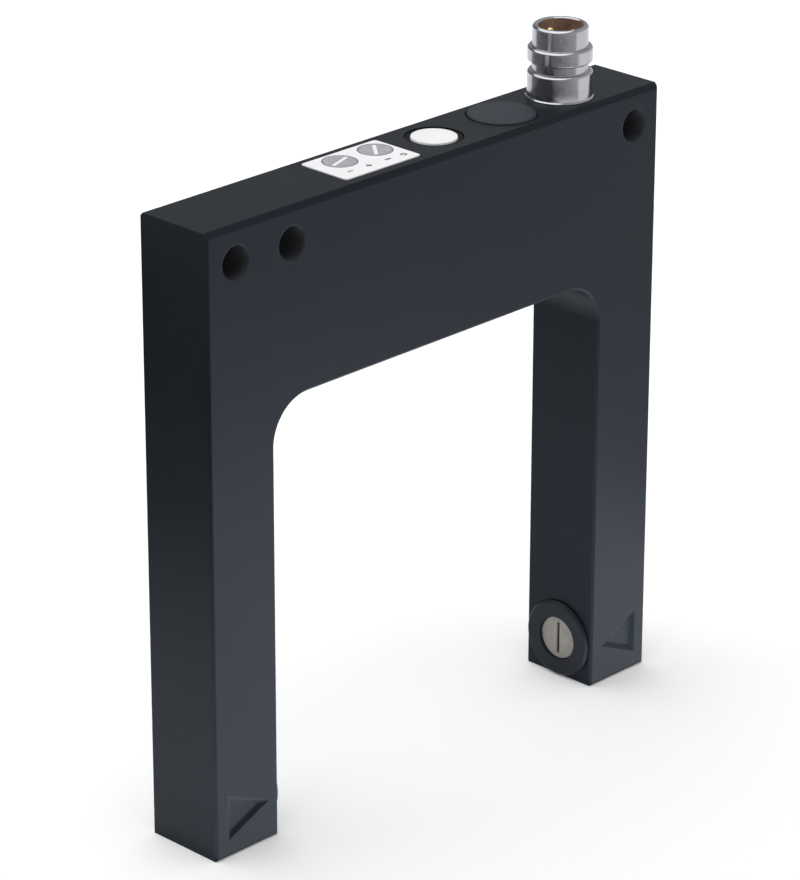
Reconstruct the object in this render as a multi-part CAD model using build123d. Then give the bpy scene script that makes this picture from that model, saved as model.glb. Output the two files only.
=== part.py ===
from build123d import *
import os

# Fork light barrier. Millimetres, +Z up, the arm tips stand on Z = 0.
# X runs along the width, the front face looks along -Y, X = 0 and Y = 0 are the middle planes.

# Fork body
fork_width = 82.0
fork_thickness = 12.0
arm_width = 11.0
opening_depth = 60.0
bridge_height = 25.0
inner_corner_radius = 6.0
top_edge_chamfer = 0.7
edge_chamfer = 0.3

# Milled pocket at the back and the rebate that holds its cover
front_wall = 1.8
rebate_rim = 1.1
ledge_width = 1.2
cover_thickness = 1.2
cutter_radius = 1.0

# Mounting holes
mount_hole_diameter = 4.5
mount_hole_edge = 4.75
mount_hole_pitch = 9.5
mount_pad_wall = 1.35

# Screws of the cover and of the boards
cover_screw_diameter = 2.0
cover_screw_head = 3.6
cover_screw_length = 5.0
cover_boss_wall = 0.9
cover_boss_height = 24.5
cover_boss_offset = 12.0
board_screw_diameter = 1.4
board_screw_head = 2.4
board_screw_head_height = 0.8
board_screw_bite = 1.5
board_post_diameter = 3.0
screw_slot_width = 0.5
screw_slot_depth = 0.4

# Beam axis and its optics
beam_height = 5.6
bezel_diameter = 11.0
bezel_height = 0.6
bezel_chamfer = 0.3
spigot_diameter = 7.4
spigot_length = 2.0
slit_disc_diameter = 6.1
slit_disc_thickness = 0.3
slit_disc_recess = 0.4
slit_width = 0.5
slit_length = 4.8
lens_diameter = 5.2
lens_edge = 0.9
lens_crown = 0.9
beam_package_length = 2.3
beam_package_size = 4.0
beam_stub_diameter = 3.0
beam_stub_length = 1.9
beam_stub_gap = 0.8

# Engraved direction triangles
triangle_length = 7.2
triangle_base = 6.4
triangle_depth = 0.6
triangle_edge_gap = 2.1
triangle_wall_angle = 45.0

# Circuit boards
board_thickness = 1.0
board_clearance = 0.5
board_lower_gap = 3.7
arm_board_top = 20.0
arm_screw_height = 15.5
package_depth = 4.0
flex_clearance = 0.5
flex_thickness = 0.2
flex_overlap = 2.5
chip_inset = 26.0
chip_size = 7.0
chip_height = 1.2
chip_bevel = 0.25
capacitor_inset = 25.0
capacitor_width = 3.2
capacitor_length = 5.4
capacitor_height = 2.8
capacitor_pitch = 5.0
capacitor_count = 2

# Places along the top face, counted from the right mounting hole towards the left
hole_to_plug = 8.15
plug_to_cap = 11.1
cap_to_window = 12.6
window_to_label = 13.2

# Plug, measured up from the top face
plug_collar_diameter = 8.6
plug_barrel_diameter = 7.4
plug_collar_height = 3.6
plug_groove_height = 1.2
plug_ring_height = 2.1
plug_barrel_height = 2.8
plug_bore_diameter = 5.9
plug_bore_depth = 5.2
plug_shank_diameter = 7.0
plug_shank_reach = 0.7
plug_rim_chamfer = 0.3
insert_reach = 1.5
pin_count = 3
pin_diameter = 1.0
pin_circle = 3.6
pin_start_angle = 90.0
pin_rim_gap = 0.9
pin_tail_length = 3.4
plug_seal_width = 0.5
plug_seal_height = 0.5

# Status window
window_diameter = 6.1
window_seat_depth = 0.9
window_rise = 0.15
window_bevel = 0.15
window_stem_diameter = 4.0
window_stem_length = 1.9
window_seal_width = 0.75
window_seal_height = 0.7
status_led_width = 3.0
status_led_height = 2.2
status_led_gap = 0.6

# Cap over the two adjusters
cap_diameter = 9.1
cap_rise = 0.25
cap_seat_depth = 1.0
cap_spigot_diameter = 8.0
cap_spigot_length = 1.2
cap_chamfer = 0.2
cap_seal_height = 0.5
cap_edge_gap = 0.2
cap_hollow_depth = 1.3
cap_wall = 1.2

# Screwdriver adjusters
adjuster_pitch = 4.6
adjuster_gap = 0.4
adjuster_height = 3.6
adjuster_cap_gap = 0.7
rotor_head_diameter = 3.2
rotor_head_height = 1.3
rotor_neck_diameter = 2.6
rotor_neck_length = 1.0
rotor_slot_width = 0.5
rotor_slot_depth = 0.6
adjuster_lip = 0.4
running_clearance = 0.05

# Label
label_width = 13.3
label_depth = 8.2
label_thickness = 0.15
label_corner = 0.5

# Clearance between pieces that fit into each other
fit_clearance = 0.1

# Derived places
fork_height = opening_depth + bridge_height
opening_width = fork_width - 2 * arm_width
front_y = -fork_thickness / 2
back_y = fork_thickness / 2
floor_y = front_y + front_wall
ledge_y = back_y - cover_thickness
board_face_y = -package_depth / 2
board_back_y = board_face_y - board_thickness
pocket_inset = rebate_rim + ledge_width
pocket_top = fork_height - pocket_inset
hole_z = fork_height - mount_hole_edge
left_hole_x = -fork_width / 2 + mount_hole_edge
second_hole_x = left_hole_x + mount_hole_pitch
right_hole_x = fork_width / 2 - mount_hole_edge
mount_pad_radius = mount_hole_diameter / 2 + mount_pad_wall
channel_outer_x = fork_width / 2 - pocket_inset
channel_inner_x = opening_width / 2 + pocket_inset
channel_middle_x = (channel_outer_x + channel_inner_x) / 2
cover_boss_radius = cover_screw_diameter / 2 + cover_boss_wall
arm_boss_x = channel_outer_x - cover_boss_radius / 2
flex_outer_x = arm_boss_x - cover_boss_radius - flex_clearance
flex_inner_x = channel_inner_x + flex_clearance
plug_x = right_hole_x - hole_to_plug
cap_x = plug_x - plug_to_cap
window_x = cap_x - cap_to_window
label_x = window_x - window_to_label
bridge_boss_z = opening_depth + pocket_inset + cover_boss_radius / 2
plug_top = fork_height + plug_collar_height + plug_groove_height + plug_ring_height + plug_barrel_height
spigot_bore_radius = spigot_diameter / 2 + fit_clearance
slit_seat = bezel_height - slit_disc_recess - slit_disc_thickness
cap_seat_z = fork_height - cap_seat_depth
cap_bore_diameter = cap_spigot_diameter + 2 * fit_clearance
cap_flange_z = cap_seat_z + cap_seal_height
adjuster_top = cap_seat_z - cap_spigot_length - adjuster_cap_gap - rotor_neck_length + adjuster_lip
window_seat_z = fork_height - window_seat_depth
window_seat_diameter = window_diameter + 2 * window_seal_width + 2 * fit_clearance
status_led_top = window_seat_z - window_stem_length - status_led_gap
board_low_z = opening_depth + pocket_inset + board_lower_gap
board_shoulder_z = hole_z - mount_pad_radius - board_clearance
board_top_z = pocket_top - board_clearance
board_middle_z = (board_low_z + board_shoulder_z) / 2
board_end_x = channel_outer_x - board_clearance
chip_x = chip_inset - board_end_x
capacitor_x = board_end_x - capacitor_inset
plug_notch_x = plug_x - plug_shank_diameter / 2 - board_clearance
screw_points = {
    "main": [(x, board_shoulder_z - board_post_diameter) for x in (left_hole_x, right_hole_x)],
    "emitter": [(-channel_middle_x, arm_screw_height)],
    "receiver": [(channel_middle_x, arm_screw_height)],
}


def plate(sketch, from_y, to_y):
    """Extrude an outline drawn in X and Z between two Y planes."""
    plane = Plane((0, to_y, 0), x_dir=(1, 0, 0), z_dir=(0, -1, 0))
    return extrude(plane * sketch, amount=to_y - from_y)


def rod(x, z, diameter, from_y, to_y):
    """A round bar along Y."""
    return plate(Pos(x, z) * Circle(diameter / 2), from_y, to_y)


def block(x, z, width, height, from_y, to_y):
    """A rectangular block, given its middle and its size in X and Z."""
    return plate(Pos(x, z) * Rectangle(width, height), from_y, to_y)


def span(x_from, x_to, z_from, z_to):
    """A rectangle between two X and two Z values."""
    return Pos((x_from + x_to) / 2, (z_from + z_to) / 2) * Rectangle(abs(x_to - x_from), z_to - z_from)


def turned(points):
    """Revolve a closed outline of (radius, height) points about Z."""
    outline = make_face(Polyline(*points, close=True))
    return revolve(Plane.XZ * outline, Axis.Z)


def tube(outer, inner, from_z, to_z):
    """A ring of rectangular section about Z, given its two diameters."""
    return turned([(inner / 2, from_z), (outer / 2, from_z), (outer / 2, to_z), (inner / 2, to_z)])


def disc(diameter, from_z, to_z):
    """A round disc about Z."""
    return Pos(0, 0, (from_z + to_z) / 2) * Cylinder(diameter / 2, to_z - from_z)


def bevelled(diameter, from_z, to_z, bevel):
    """A round disc about Z with a bevel round its upper edge."""
    radius = diameter / 2
    return turned([(0, from_z), (radius, from_z), (radius, to_z - bevel), (radius - bevel, to_z), (0, to_z)])


def crowned(diameter, from_z, edge_z, crown):
    """A round disc about Z whose upper face is a shallow dome, crown high."""
    radius = diameter / 2
    dome_radius = (radius ** 2 + crown ** 2) / (2 * crown)
    dome_centre = edge_z + crown - dome_radius
    halfway = (radius / 2, dome_centre + (dome_radius ** 2 - radius ** 2 / 4) ** 0.5)
    edge = Line((0, from_z), (radius, from_z))
    wall = Line((radius, from_z), (radius, edge_z))
    dome = ThreePointArc((radius, edge_z), halfway, (0, edge_z + crown))
    axis = Line((0, edge_z + crown), (0, from_z))
    return revolve(Plane.XZ * make_face([edge, wall, dome, axis]), Axis.Z)


def on_arm(shape, side):
    """Turn a piece about Z so that its axis is the beam and Z = 0 is the arm's inner face."""
    return Pos(side * opening_width / 2, 0, beam_height) * Rot(0, -side * 90, 0) * shape


# Fork body
def fork_outline():
    body = span(-fork_width / 2, fork_width / 2, 0, fork_height)
    gap = span(-opening_width / 2, opening_width / 2, -fork_height, opening_depth)
    outline = body - gap
    corners = [v for v in outline.vertices() if abs(v.Y - opening_depth) < fit_clearance]
    return fillet(corners, inner_corner_radius)


def mount_pads(extra):
    """The two blocks round the mounting holes that stay solid up to the back face."""
    radius = mount_pad_radius + extra
    beyond = fork_height + cutter_radius
    pads = Sketch()
    for side, x in ((-1, second_hole_x), (1, right_hole_x)):
        edge = side * (fork_width / 2 + cutter_radius)
        pads += Pos(x, hole_z) * Circle(radius)
        pads += span(x, edge, hole_z - radius, beyond)
        pads += span(x - side * radius, x, hole_z, beyond)
    return pads


def inset_outline(amount):
    outline = offset(fork_outline(), amount=-amount, kind=Kind.INTERSECTION)
    tips = [v for v in outline.vertices() if v.Y < amount + fit_clearance]
    return fillet(tips, cutter_radius)


def cover_screw_points():
    arms = [(side * arm_boss_x, cover_boss_height) for side in (-1, 1)]
    bridge = [(side * cover_boss_offset, bridge_boss_z) for side in (-1, 1)]
    return arms + bridge


def pocket_outline():
    outline = inset_outline(pocket_inset) - mount_pads(0)
    for x, z in cover_screw_points():
        outline -= Pos(x, z) * Circle(cover_boss_radius)
    return outline


def board_screw_points():
    return [point for points in screw_points.values() for point in points]


def board_posts():
    """Short posts on the pocket floor that carry the boards."""
    posts = Part()
    for x, z in board_screw_points():
        posts += rod(x, z, board_post_diameter, floor_y - fit_clearance, board_back_y)
    return posts


def triangle(side):
    """Engraved triangle with sloping walls that points into the opening."""
    base_x = side * (fork_width / 2 - triangle_edge_gap)
    tip_x = base_x - side * triangle_length
    half = triangle_base / 2
    outline = make_face(Polyline(
        (base_x, beam_height + half), (base_x, beam_height - half), (tip_x, beam_height), close=True))
    plane = Plane((0, front_y, 0), x_dir=(1, 0, 0), z_dir=(0, -1, 0))
    return extrude(plane * outline, amount=-triangle_depth, taper=triangle_wall_angle)


def on_top_chamfer(edge):
    return edge.center().Z > fork_height - 2 * top_edge_chamfer


def chamfered_body():
    body = plate(fork_outline(), front_y, back_y)
    top_edges = body.edges().filter_by(Axis.X).group_by(Axis.Z)[-1]
    body = chamfer(top_edges, top_edge_chamfer)
    faces = body.faces().filter_by(Axis.Y)
    return chamfer([e for e in faces.edges() if not on_top_chamfer(e)], edge_chamfer)


def fork_housing():
    body = chamfered_body()
    body -= plate(inset_outline(rebate_rim) - mount_pads(0), ledge_y, back_y + cutter_radius)
    body -= plate(pocket_outline(), floor_y, ledge_y + fit_clearance)
    body += board_posts()
    for x in (left_hole_x, second_hole_x, right_hole_x):
        body -= rod(x, hole_z, mount_hole_diameter, front_y - cutter_radius, back_y + cutter_radius)
    for x, z in cover_screw_points():
        body -= rod(x, z, cover_screw_diameter, ledge_y - cover_screw_length, ledge_y + fit_clearance)
    for x, z in board_screw_points():
        hole = board_screw_diameter + fit_clearance
        body -= rod(x, z, hole, board_back_y - board_screw_bite, board_back_y + fit_clearance)
    for side in (-1, 1):
        body -= triangle(side)
        body -= on_arm(disc(2 * spigot_bore_radius, -pocket_inset - fit_clearance, fit_clearance), side)
    body -= Pos(plug_x, 0, 0) * plug_cut()
    body -= Pos(window_x, 0, 0) * window_cut()
    body -= Pos(cap_x, 0, 0) * cap_cut()
    return body


# Cover and its screws
def back_cover():
    outline = inset_outline(rebate_rim + fit_clearance) - mount_pads(fit_clearance)
    cover = plate(outline, ledge_y, back_y)
    for x, z in cover_screw_points():
        cover -= Pos(x, ledge_y, z) * Rot(-90, 0, 0) * screw_sink()
    return cover


def screw_sink():
    """Countersunk clearance hole, from the ledge out through the cover."""
    shank = cover_screw_diameter / 2 + fit_clearance
    head = cover_screw_head / 2 + fit_clearance
    slope = cover_thickness - (head - shank)
    return turned([
        (0, -fit_clearance), (shank, -fit_clearance), (shank, slope), (head, cover_thickness),
        (head, cover_thickness + fit_clearance), (0, cover_thickness + fit_clearance)])


def cover_screw():
    """Countersunk screw, its head flush with the cover's outer face at Z = cover_thickness."""
    shank = (cover_screw_diameter - fit_clearance) / 2
    head = cover_screw_head / 2
    tip = cover_thickness - cover_screw_length
    screw = turned([
        (0, tip), (shank, tip), (shank, cover_thickness - (head - shank)), (head, cover_thickness),
        (0, cover_thickness)])
    slot = Box(cover_screw_head, screw_slot_width, 2 * screw_slot_depth)
    return screw - Pos(0, 0, cover_thickness) * slot


def cover_screws():
    screws = [Pos(x, ledge_y, z) * Rot(-90, 0, 0) * cover_screw() for x, z in cover_screw_points()]
    return Compound(children=screws)


# Plug
def plug_cut():
    diameter = plug_shank_diameter + 2 * fit_clearance
    beyond = fork_height + cutter_radius
    bore = disc(diameter, pocket_top - cutter_radius, beyond)
    seal = disc(diameter + 2 * plug_seal_width, fork_height - plug_seal_height, beyond)
    return bore + seal


def connector_shell():
    collar = plug_collar_diameter / 2
    barrel = plug_barrel_diameter / 2
    bore = plug_bore_diameter / 2
    shank = plug_shank_diameter / 2
    z_collar = fork_height + plug_collar_height
    z_ring = z_collar + plug_groove_height
    z_barrel = z_ring + plug_ring_height
    rim = plug_rim_chamfer
    foot = pocket_top - plug_shank_reach
    shell = turned([
        (bore, foot), (shank, foot), (shank, fork_height), (collar, fork_height),
        (collar, z_collar - rim), (collar - rim, z_collar), (barrel, z_collar), (barrel, z_ring),
        (collar - rim, z_ring), (collar, z_ring + rim), (collar, z_barrel - rim), (collar - rim, z_barrel),
        (barrel, z_barrel), (barrel, plug_top - rim), (barrel - rim, plug_top), (bore, plug_top)])
    return Pos(plug_x, 0, 0) * shell


def pin_places():
    return PolarLocations(pin_circle / 2, pin_count, start_angle=pin_start_angle)


def connector_insert():
    low = pocket_top - plug_shank_reach - insert_reach
    high = plug_top - plug_bore_depth
    body = disc(plug_bore_diameter - fit_clearance, low, high)
    for place in pin_places():
        body -= place * disc(pin_diameter, low - fit_clearance, high + fit_clearance)
    return Pos(plug_x, 0, 0) * body


def connector_pin():
    low = pocket_top - plug_shank_reach - insert_reach - pin_tail_length
    return bevelled(pin_diameter, low, plug_top - pin_rim_gap, pin_diameter / 4)


def connector_pins():
    return Compound(children=[Pos(plug_x, 0, 0) * place * connector_pin() for place in pin_places()])


def connector_seal():
    inner = plug_shank_diameter + fit_clearance
    ring = tube(inner + 2 * plug_seal_width, inner, fork_height - plug_seal_height, fork_height)
    return Pos(plug_x, 0, 0) * ring


# Status window
def window_cut():
    seat = disc(window_seat_diameter, window_seat_z, fork_height + cutter_radius)
    bore = disc(window_stem_diameter + 2 * fit_clearance, pocket_top - cutter_radius, fork_height)
    return seat + bore


def led_window():
    head = bevelled(window_diameter, window_seat_z, fork_height + window_rise, window_bevel)
    stem = disc(window_stem_diameter, window_seat_z - window_stem_length, window_seat_z)
    return Pos(window_x, 0, 0) * (head + stem)


def window_seal():
    inner = window_diameter + fit_clearance
    ring = tube(inner + 2 * window_seal_width, inner, window_seat_z, window_seat_z + window_seal_height)
    return Pos(window_x, 0, 0) * ring


def status_led():
    return block(
        window_x, status_led_top - status_led_height / 2, status_led_width, status_led_height,
        board_face_y, -board_face_y)


# Cap over the adjusters
def cap_cut():
    seat = disc(cap_diameter + 2 * cap_edge_gap, cap_seat_z, fork_height + cutter_radius)
    bore = disc(cap_bore_diameter, pocket_top - cutter_radius, fork_height)
    return seat + bore


def adjuster_cap():
    radius = cap_diameter / 2
    spigot = cap_spigot_diameter / 2
    foot = cap_seat_z - cap_spigot_length
    top = fork_height + cap_rise
    hollow = spigot - cap_wall
    cap = turned([
        (0, foot + cap_hollow_depth), (hollow, foot + cap_hollow_depth), (hollow, foot), (spigot, foot),
        (spigot, cap_flange_z), (radius, cap_flange_z), (radius, top - cap_chamfer),
        (radius - cap_chamfer, top), (0, top)])
    return Pos(cap_x, 0, 0) * cap


def cap_seal():
    """Flat ring between the cap's flange and its seat."""
    return Pos(cap_x, 0, 0) * tube(cap_diameter, cap_bore_diameter, cap_seat_z, cap_flange_z)


# Adjusters
def adjuster_x(side):
    return cap_x + side * adjuster_pitch / 2


def adjuster_body(side):
    width = adjuster_pitch - adjuster_gap
    low = adjuster_top - adjuster_height
    package = Pos(0, 0, (low + adjuster_top) / 2) * Box(width, package_depth, adjuster_height)
    head = rotor_head_diameter / 2 + running_clearance
    neck = rotor_neck_diameter / 2 + running_clearance
    head_top = adjuster_top - adjuster_lip
    head_low = head_top - rotor_head_height - 2 * running_clearance
    seat = turned([
        (0, head_low), (head, head_low), (head, head_top), (neck, head_top),
        (neck, adjuster_top + fit_clearance), (0, adjuster_top + fit_clearance)])
    return Pos(adjuster_x(side), 0, 0) * (package - seat)


def adjuster_rotor(side):
    head = rotor_head_diameter / 2
    neck = rotor_neck_diameter / 2
    head_top = adjuster_top - adjuster_lip - running_clearance
    head_low = head_top - rotor_head_height
    top = head_top + rotor_neck_length
    rotor = turned([
        (0, head_low), (head, head_low), (head, head_top), (neck, head_top), (neck, top), (0, top)])
    slot = Pos(0, 0, top) * Box(rotor_head_diameter, rotor_slot_width, 2 * rotor_slot_depth)
    return Pos(adjuster_x(side), 0, 0) * (rotor - slot)


# Label
def control_label():
    outline = RectangleRounded(label_width, label_depth, label_corner)
    return Pos(label_x, 0, fork_height) * extrude(outline, amount=label_thickness)


# Boards and what they carry
def board_outline():
    left_x = second_hole_x + mount_pad_radius + board_clearance
    lower = span(-board_end_x, board_end_x, board_low_z, board_shoulder_z)
    upper = span(left_x, plug_notch_x, board_shoulder_z, board_top_z)
    return lower + upper


def drilled(board, points):
    for x, z in points:
        board -= rod(x, z, board_screw_diameter + 2 * fit_clearance, board_back_y, board_face_y)
    return board


def main_board():
    return drilled(plate(board_outline(), board_back_y, board_face_y), screw_points["main"])


def board_screw(x, z):
    shank = rod(x, z, board_screw_diameter, board_back_y - board_screw_bite, board_face_y)
    head = rod(x, z, board_screw_head, board_face_y, board_face_y + board_screw_head_height)
    return shank + head


def board_screws():
    return Compound(children=[board_screw(x, z) for x, z in board_screw_points()])


def signal_chip():
    body = block(chip_x, board_middle_z, chip_size, chip_size, board_face_y, board_face_y + chip_height)
    return chamfer(body.faces().sort_by(Axis.Y)[-1].edges(), chip_bevel)


def capacitor(x):
    top = board_face_y + capacitor_height
    body = block(x, board_middle_z, capacitor_width, capacitor_length, board_face_y, top)
    return chamfer(body.faces().sort_by(Axis.Y)[-1].edges(), chip_bevel)


def board_capacitors():
    return Compound(children=[capacitor(capacitor_x + n * capacitor_pitch) for n in range(capacitor_count)])


def arm_board(side, points):
    inner_x = channel_inner_x + board_clearance
    outline = span(side * inner_x, side * board_end_x, pocket_inset + board_clearance, arm_board_top)
    return drilled(plate(outline, board_back_y, board_face_y), points)


def arm_flex(side):
    """Flat lead from the arm's board up past the screw boss to the main board."""
    low = arm_board_top - flex_overlap
    high = board_low_z + flex_overlap
    outline = span(side * flex_inner_x, side * flex_outer_x, low, high)
    return plate(outline, board_face_y, board_face_y + flex_thickness)


# Beam optics, drawn with the arm's inner face at Z = 0 and the opening at Z > 0
def bezel(side):
    flange = bezel_diameter / 2
    spigot = spigot_diameter / 2
    seat = slit_disc_diameter / 2 + fit_clearance / 2
    bore = lens_diameter / 2 + fit_clearance / 2
    ring = turned([
        (bore, -spigot_length), (spigot, -spigot_length), (spigot, 0), (flange, 0),
        (flange, bezel_height - bezel_chamfer), (flange - bezel_chamfer, bezel_height),
        (seat, bezel_height), (seat, slit_seat), (bore, slit_seat)])
    return on_arm(ring, side)


def slit_disc(side):
    plain = disc(slit_disc_diameter, slit_seat, slit_seat + slit_disc_thickness)
    slit = Pos(0, 0, slit_seat) * Box(slit_length, slit_width, 4 * slit_disc_thickness)
    return on_arm(plain - slit, side)


def lens(side):
    """Plano-convex lens, its flat face against the back of the slit disc."""
    shape = crowned(lens_diameter, -slit_seat, lens_edge - slit_seat, lens_crown)
    return on_arm(Rot(180, 0, 0) * shape, side)


def beam_package(side):
    """The light source or the photodiode: a package with a round stub towards the lens."""
    face = -pocket_inset - beam_stub_gap - beam_stub_length
    middle = face - beam_package_length / 2
    body = Pos(0, 0, middle) * Box(beam_package_size, package_depth, beam_package_length)
    return on_arm(body + disc(beam_stub_diameter, face, face + beam_stub_length), side)


parts = {
    "fork_housing": fork_housing(),
    "back_cover": back_cover(),
    "cover_screws": cover_screws(),
    "connector_shell": connector_shell(),
    "connector_insert": connector_insert(),
    "connector_pins": connector_pins(),
    "connector_seal": connector_seal(),
    "led_window": led_window(),
    "window_seal": window_seal(),
    "status_led": status_led(),
    "adjuster_cap": adjuster_cap(),
    "cap_seal": cap_seal(),
    "sensitivity_trimmer_body": adjuster_body(-1),
    "sensitivity_trimmer_rotor": adjuster_rotor(-1),
    "mode_switch_body": adjuster_body(1),
    "mode_switch_rotor": adjuster_rotor(1),
    "control_label": control_label(),
    "main_board": main_board(),
    "board_screws": board_screws(),
    "signal_chip": signal_chip(),
    "board_capacitors": board_capacitors(),
}

sides = {"emitter": -1, "receiver": 1}
sources = {"emitter": "emitter_led", "receiver": "receiver_diode"}
for name, side in sides.items():
    parts[name + "_board"] = arm_board(side, screw_points[name])
    parts[name + "_flex"] = arm_flex(side)
    parts[name + "_bezel"] = bezel(side)
    parts[name + "_slit_disc"] = slit_disc(side)
    parts[name + "_lens"] = lens(side)
    parts[sources[name]] = beam_package(side)

os.makedirs("parts", exist_ok=True)
for name, shape in parts.items():
    export_step(shape, "parts/" + name + ".step")
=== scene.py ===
import math

import bpy
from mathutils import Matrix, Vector


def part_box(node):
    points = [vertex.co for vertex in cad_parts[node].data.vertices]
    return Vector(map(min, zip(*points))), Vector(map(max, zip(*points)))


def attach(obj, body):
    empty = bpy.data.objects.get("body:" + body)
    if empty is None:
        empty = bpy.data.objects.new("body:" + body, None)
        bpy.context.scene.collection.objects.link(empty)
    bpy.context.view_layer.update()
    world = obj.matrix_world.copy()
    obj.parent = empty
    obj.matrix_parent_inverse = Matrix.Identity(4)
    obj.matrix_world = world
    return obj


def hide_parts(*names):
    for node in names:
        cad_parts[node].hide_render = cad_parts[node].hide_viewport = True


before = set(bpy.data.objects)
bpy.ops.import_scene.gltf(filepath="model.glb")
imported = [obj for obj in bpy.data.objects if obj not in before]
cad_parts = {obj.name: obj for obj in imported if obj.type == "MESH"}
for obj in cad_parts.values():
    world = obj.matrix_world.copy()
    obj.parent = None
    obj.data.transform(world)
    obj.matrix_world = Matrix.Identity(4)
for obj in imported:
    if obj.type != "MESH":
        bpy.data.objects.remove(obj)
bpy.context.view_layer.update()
mm = 0.001
print("frame loaded:", len(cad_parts), "nodes")


# Places that several pieces share, read from the frame
def middle(node):
    low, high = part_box(node)
    return (low + high) / 2


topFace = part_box("fork_housing")[1].z
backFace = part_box("fork_housing")[1].y
beamHeight = middle("receiver_bezel").z
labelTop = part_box("control_label")[1].z
plugX = middle("connector_shell").x
windowX = middle("led_window").x
capX = middle("adjuster_cap").x


# Camera: the photograph's view of the fork from its front left, a little above
view = {"lens": 172.6, "sensor": 36.0, "azimuth": -45.71, "elevation": 22.95, "roll": 0.13,
        "distance": 0.5511, "right": -0.00117, "up": 0.00167, "aim": (0, 0, 0.0425)}


def makeCamera():
    turn, tilt = math.radians(view["azimuth"]), math.radians(view["elevation"])
    back = Vector((math.sin(turn) * math.cos(tilt), -math.cos(turn) * math.cos(tilt), math.sin(tilt)))
    right = Vector((math.cos(turn), math.sin(turn), 0))
    up = back.cross(right)
    place = Vector(view["aim"]) + back * view["distance"] + right * view["right"] + up * view["up"]
    bpy.ops.object.camera_add(location=place)
    camera = bpy.context.object
    camera.name = "photoCamera"
    camera.rotation_euler = back.to_track_quat("Z", "Y").to_euler()
    camera.rotation_euler.rotate_axis("Z", math.radians(view["roll"]))
    camera.data.lens = view["lens"]
    camera.data.sensor_width = view["sensor"]
    camera.data.clip_start, camera.data.clip_end = 0.01, 60
    bpy.context.scene.camera = camera


makeCamera()
print("camera set")


# Helpers round Blender's own operators
weldDistance = 0.4e-6


def onlyThis(piece):
    bpy.ops.object.select_all(action="DESELECT")
    piece.select_set(True)
    bpy.context.view_layer.objects.active = piece


def editOn(piece):
    onlyThis(piece)
    bpy.ops.object.mode_set(mode="EDIT")
    bpy.ops.mesh.select_all(action="SELECT")


def editOff():
    bpy.ops.object.mode_set(mode="OBJECT")


def nameIt(piece, name):
    piece.name = name
    piece.data.name = name
    return piece


def applyModifier(piece, modifier):
    onlyThis(piece)
    bpy.ops.object.modifier_apply(modifier=modifier.name)


def moveTo(piece, place, turn=(0, 0, 0)):
    piece.location = place   # goes into the mesh, so the object stays at the origin
    piece.rotation_euler = [math.radians(angle) for angle in turn]
    onlyThis(piece)
    bpy.ops.object.transform_apply(location=True, rotation=True, scale=True)
    return piece


def weld(piece):
    editOn(piece)
    bpy.ops.mesh.remove_doubles(threshold=weldDistance)
    bpy.ops.mesh.normals_make_consistent(inside=False)
    editOff()


def softenEdges(piece, width, segments=2, angle=28):
    bevel = piece.modifiers.new("softEdge", "BEVEL")
    bevel.width = width
    bevel.segments = segments
    bevel.limit_method = "ANGLE"
    bevel.angle_limit = math.radians(angle)
    applyModifier(piece, bevel)


def smoothShade(piece, angle=35):
    onlyThis(piece)
    bpy.ops.object.shade_smooth_by_angle(angle=math.radians(angle))


def evenNormals(piece):
    # large flat faces keep their own normal, so that only the narrow edges shade smoothly
    weights = piece.modifiers.new("evenNormals", "WEIGHTED_NORMAL")
    weights.keep_sharp = True
    applyModifier(piece, weights)


def cutAway(piece, cutter):
    cut = piece.modifiers.new("cut", "BOOLEAN")
    cut.operation = "DIFFERENCE"
    cut.solver = "EXACT"
    cut.object = cutter
    applyModifier(piece, cut)
    bpy.data.objects.remove(cutter)
    return piece


def joinAll(pieces, name):
    onlyThis(pieces[0])
    for piece in pieces[1:]:
        piece.select_set(True)
    bpy.ops.object.join()
    return nameIt(bpy.context.object, name)


def copyPiece(piece, name):
    onlyThis(piece)
    bpy.ops.object.duplicate(linked=False)
    return nameIt(bpy.context.object, name)


def barAt(name, centre, size):
    bpy.ops.object.select_all(action="DESELECT")
    bpy.ops.mesh.primitive_cube_add(size=1)
    bar = nameIt(bpy.context.object, name)
    bar.scale = size
    return moveTo(bar, centre)


def turned(name, rings, closed=True, segments=96):
    # one circle is extruded and resized through (radius, height) pairs in millimetres;
    # closed=False leaves the ends open, for a tube whose last ring meets its first
    radius, height = rings[0]
    bpy.ops.object.select_all(action="DESELECT")
    bpy.ops.mesh.primitive_circle_add(vertices=segments, radius=radius * mm)
    piece = nameIt(bpy.context.object, name)
    editOn(piece)
    bpy.ops.transform.translate(value=(0, 0, height * mm))
    if closed:
        bpy.ops.mesh.edge_face_add()
    for nextRadius, nextHeight in rings[1:]:
        rise = (0, 0, (nextHeight - height) * mm)
        bpy.ops.mesh.extrude_region_move(TRANSFORM_OT_translate={"value": rise})
        share = nextRadius / radius
        bpy.ops.transform.resize(value=(share, share, 1), center_override=(0, 0, nextHeight * mm))
        radius, height = nextRadius, nextHeight
    editOff()
    weld(piece)
    return piece


def domeRings(radius, lowHeight, rise, steps=10, endShare=0.03):
    # rings of a shallow dome, from just inside its edge to its top
    rings = []
    for step in range(1, steps + 1):
        share = 1 - (1 - endShare) * step / steps
        rings.append((radius * share, lowHeight + rise * (1 - share ** 2)))
    return rings


# Node helpers for the materials
def newMaterial(name):
    material = bpy.data.materials.new(name)
    material.use_nodes = True
    material.node_tree.nodes.clear()
    return material, material.node_tree


def addNode(tree, kind, inputs=None, **settings):
    node = tree.nodes.new(kind)
    for key, value in settings.items():
        setattr(node, key, value)
    for key, value in (inputs or {}).items():
        if isinstance(value, bpy.types.NodeSocket):
            tree.links.new(value, node.inputs[key])
        else:
            node.inputs[key].default_value = value
    return node


def maths(tree, operation, first, second, clamp=False):
    node = addNode(tree, "ShaderNodeMath", {0: first, 1: second}, operation=operation, use_clamp=clamp)
    return node.outputs[0]


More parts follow.
